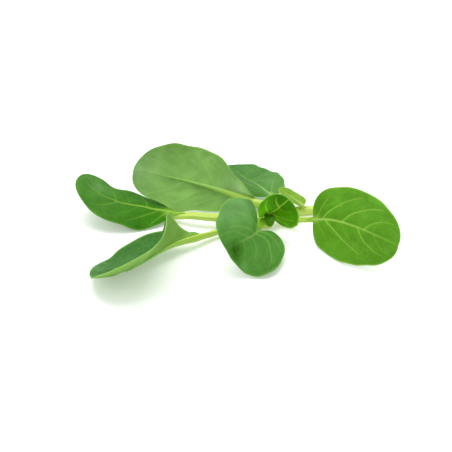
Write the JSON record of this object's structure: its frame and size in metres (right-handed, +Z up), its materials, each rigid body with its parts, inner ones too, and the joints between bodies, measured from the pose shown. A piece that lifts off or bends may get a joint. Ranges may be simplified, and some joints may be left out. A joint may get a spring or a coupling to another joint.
{
  "type": "tatsoi plant",
  "caption": "Young tatsoi plant picked whole, lying loosely: spoon-shaped green leaf blades on pale stalks spreading from the crown of a short stem.",
  "frame": {"origin": "on the surface the plant lies on, at the middle of the narrow flat under its stem", "axes": "+X to the right, from the leaves towards the stem's cut end; +Y back; +Z up"},
  "size_m": [0.1664, 0.1313, 0.0362],
  "materials": {
    "leaf_dark": "satin",
    "leaf_bright": "satin",
    "leaf_pale": "satin",
    "stalk": "satin",
    "stem": "satin"
  },
  "bodies": {
    "root": {"stem": "stem", "far_left_blade": "leaf_dark", "far_left_stalk": "stalk", "front_left_blade": "leaf_dark", "front_left_stalk": "stalk", "back_left_blade": "leaf_pale", "back_left_stalk": "stalk", "back_blade": "leaf_bright", "back_stalk": "stalk", "small_back_blade": "leaf_pale", "small_back_stalk": "stalk", "front_blade": "leaf_bright", "front_stalk": "stalk", "centre_blade": "leaf_dark", "centre_stalk": "stalk", "right_blade": "leaf_bright", "right_stalk": "stalk", "bud_blade": "leaf_dark", "bud_stalk": "stalk"}
  },
  "joints": []
}
